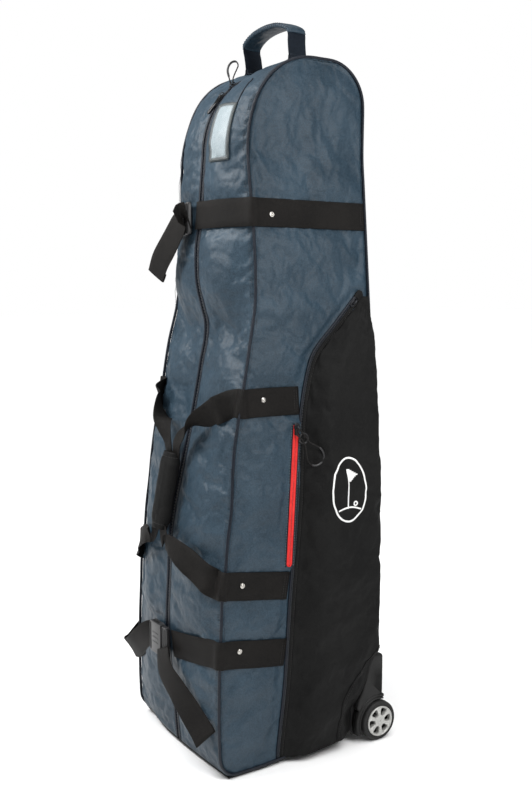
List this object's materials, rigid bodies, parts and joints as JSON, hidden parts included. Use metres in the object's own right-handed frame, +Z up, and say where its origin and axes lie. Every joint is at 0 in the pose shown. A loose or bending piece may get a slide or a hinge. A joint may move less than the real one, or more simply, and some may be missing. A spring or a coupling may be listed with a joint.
{
  "type": "golf travel case",
  "caption": "Tall wheeled fabric golf travel case with a zipped padded hood, compression straps with side-release buckles, a side pocket, carry handles and slotted-cap rear wheels.",
  "frame": {"origin": "on the floor, on the case's left-right centre plane, midway between its front and back", "axes": "+Z up along the case's length; +X to the case's right side, with the accent zip; -Y towards the front, with the main zip"},
  "size_m": [0.3902, 0.4186, 1.3455],
  "materials": {
    "navy_fabric": "satin",
    "black_fabric": "matte",
    "webbing": "matte",
    "navy_webbing": "matte",
    "piping": "satin",
    "zip_tape": "matte",
    "cord": "matte",
    "accent_red": "matte",
    "slider_metal": "satin",
    "black_plastic": "matte",
    "buckle_plastic": "satin",
    "cap_silver": "satin",
    "tyre": "matte",
    "hub_plastic": "matte",
    "steel": "satin",
    "chrome": "polished",
    "clear_film": "gloss",
    "card": "matte",
    "foam": "matte",
    "board": "matte"
  },
  "bodies": {
    "case": {"accent_zip": "accent_red", "back_board": "board", "back_panel": "navy_fabric", "base_board": "board", "base_panel": "black_plastic", "carry_webbing_left": "webbing", "carry_webbing_right": "webbing", "front_panel_left": "navy_fabric", "front_panel_right": "navy_fabric", "hood_foam": "foam", "id_card": "card", "id_window": "clear_film", "id_window_frame": "piping", "lower_buckle_socket": "buckle_plastic", "lower_strap_left": "webbing", "lower_strap_right": "webbing", "main_zip_tape_left": "zip_tape", "main_zip_tape_right": "zip_tape", "pocket_zips": "zip_tape", "rivets": "chrome", "side_panel_left": "navy_fabric", "side_panel_right": "navy_fabric", "side_piping": "piping", "side_pocket_left": "black_fabric", "side_pocket_right": "black_fabric", "top_handle_feet": "navy_webbing", "upper_buckle_socket": "buckle_plastic", "upper_strap_left": "webbing", "upper_strap_right": "webbing", "wheel_axles": "steel", "wheel_housing_left": "black_plastic", "wheel_housing_right": "black_plastic"},
    "wheel_right": {"tyre_right": "tyre", "wheel_hub_right": "hub_plastic", "wheel_bearings_right": "steel", "wheel_cap_right": "cap_silver"},
    "wheel_left": {"tyre_left": "tyre", "wheel_hub_left": "hub_plastic", "wheel_bearings_left": "steel", "wheel_cap_left": "cap_silver"},
    "upper_slider": {"main_slider_upper": "slider_metal"},
    "upper_pull": {"main_pull_upper": "cord"},
    "lower_slider": {"main_slider_lower": "slider_metal"},
    "lower_pull": {"main_pull_lower": "cord"},
    "pocket_zip_right": {"pocket_slider_right": "slider_metal"},
    "pocket_zip_left": {"pocket_slider_left": "slider_metal"},
    "accent_slider": {"accent_slider": "slider_metal"},
    "accent_pull": {"accent_pull": "cord", "accent_ring": "cord"},
    "upper_plug": {"upper_buckle_plug": "buckle_plastic", "upper_strap_tail": "webbing"},
    "upper_prong_top": {"upper_prong_upper": "buckle_plastic"},
    "upper_prong_bottom": {"upper_prong_lower": "buckle_plastic"},
    "lower_plug": {"lower_buckle_plug": "buckle_plastic", "lower_strap_tail": "webbing"},
    "lower_prong_top": {"lower_prong_upper": "buckle_plastic"},
    "lower_prong_bottom": {"lower_prong_lower": "buckle_plastic"},
    "top_handle": {"top_handle_webbing": "navy_webbing", "top_handle_wrap": "navy_webbing"},
    "carry_grip": {"carry_grip": "webbing"}
  },
  "joints": [
    {"name": "wheel_right_spin", "type": "hinge", "parent": "case", "child": "wheel_right", "pos_m": [0.1832, 0.165, 0.038], "axis": [1, 0, 0], "continuous": true},
    {"name": "wheel_left_spin", "type": "hinge", "parent": "case", "child": "wheel_left", "pos_m": [-0.1832, 0.165, 0.038], "axis": [1, 0, 0], "continuous": true},
    {"name": "main_zip_upper", "type": "hinge", "parent": "case", "child": "upper_slider", "pos_m": [0, 0.055, 1.1], "axis": [1, 0, 0], "range_deg": [-23, 0]},
    {"name": "upper_pull_swing", "type": "hinge", "parent": "upper_slider", "child": "upper_pull", "pos_m": [0, -0.04538, 1.23082], "axis": [1, 0, 0], "range_deg": [-22, 95], "stiffness_Nm_per_rad": 0.003},
    {"name": "main_zip_lower", "type": "hinge", "parent": "case", "child": "lower_slider", "pos_m": [0, 0.055, 1.1], "axis": [1, 0, 0], "range_deg": [0, 26]},
    {"name": "lower_pull_swing", "type": "hinge", "parent": "lower_slider", "child": "lower_pull", "pos_m": [0, -0.0685, 1.20927], "axis": [-1, 0, 0], "range_deg": [0, 150]},
    {"name": "pocket_zip_right_slide", "type": "slide", "parent": "case", "child": "pocket_zip_right", "axis": [0.0659, -0.7056, -0.7056], "range_m": [0, 0.11]},
    {"name": "pocket_zip_left_slide", "type": "slide", "parent": "case", "child": "pocket_zip_left", "axis": [-0.0659, -0.7056, -0.7056], "range_m": [0, 0.11]},
    {"name": "accent_zip_slide", "type": "slide", "parent": "case", "child": "accent_slider", "axis": [0.0451, -0.0862, -0.9953], "range_m": [0, 0.225]},
    {"name": "accent_pull_swing", "type": "hinge", "parent": "accent_slider", "child": "accent_pull", "pos_m": [0.171, -0.01425, 0.61334], "axis": [0, -0.9963, 0.0863], "range_deg": [0, 140]},
    {"name": "upper_buckle_release", "type": "slide", "parent": "case", "child": "upper_plug", "axis": [0.9744, -0.225, 0], "range_m": [0, 0.0045]},
    {"name": "upper_prong_top_flex", "type": "hinge", "parent": "upper_plug", "child": "upper_prong_top", "pos_m": [-0.03564, -0.12328, 1.006], "axis": [-0.225, -0.9744, 0], "range_deg": [0, 9.3], "stiffness_Nm_per_rad": 0.05},
    {"name": "upper_prong_bottom_flex", "type": "hinge", "parent": "upper_plug", "child": "upper_prong_bottom", "pos_m": [-0.03564, -0.12328, 0.97], "axis": [0.225, 0.9744, 0], "range_deg": [0, 9.3], "stiffness_Nm_per_rad": 0.05},
    {"name": "lower_buckle_release", "type": "slide", "parent": "case", "child": "lower_plug", "axis": [1, 0, 0], "range_m": [0, 0.0045]},
    {"name": "lower_prong_top_flex", "type": "hinge", "parent": "lower_plug", "child": "lower_prong_top", "pos_m": [-0.0003, -0.1985, 0.227], "axis": [0, -1, 0], "range_deg": [0, 9.3], "stiffness_Nm_per_rad": 0.05},
    {"name": "lower_prong_bottom_flex", "type": "hinge", "parent": "lower_plug", "child": "lower_prong_bottom", "pos_m": [-0.0003, -0.1985, 0.191], "axis": [0, 1, 0], "range_deg": [0, 9.3], "stiffness_Nm_per_rad": 0.05},
    {"name": "top_handle_swing", "type": "hinge", "parent": "case", "child": "top_handle", "pos_m": [0, 0.046, 1.287], "axis": [1, 0, 0], "range_deg": [-50, 50], "stiffness_Nm_per_rad": 0.15},
    {"name": "carry_grip_pull", "type": "slide", "parent": "case", "child": "carry_grip", "axis": [0, -1, 0], "range_m": [0, 0.045]}
  ],
  "couplings": [
    {"joint": "upper_prong_top_flex", "follows": "upper_buckle_release", "rad_per_m": 35.6},
    {"joint": "upper_prong_bottom_flex", "follows": "upper_buckle_release", "rad_per_m": 35.6},
    {"joint": "lower_prong_top_flex", "follows": "lower_buckle_release", "rad_per_m": 35.6},
    {"joint": "lower_prong_bottom_flex", "follows": "lower_buckle_release", "rad_per_m": 35.6}
  ]
}
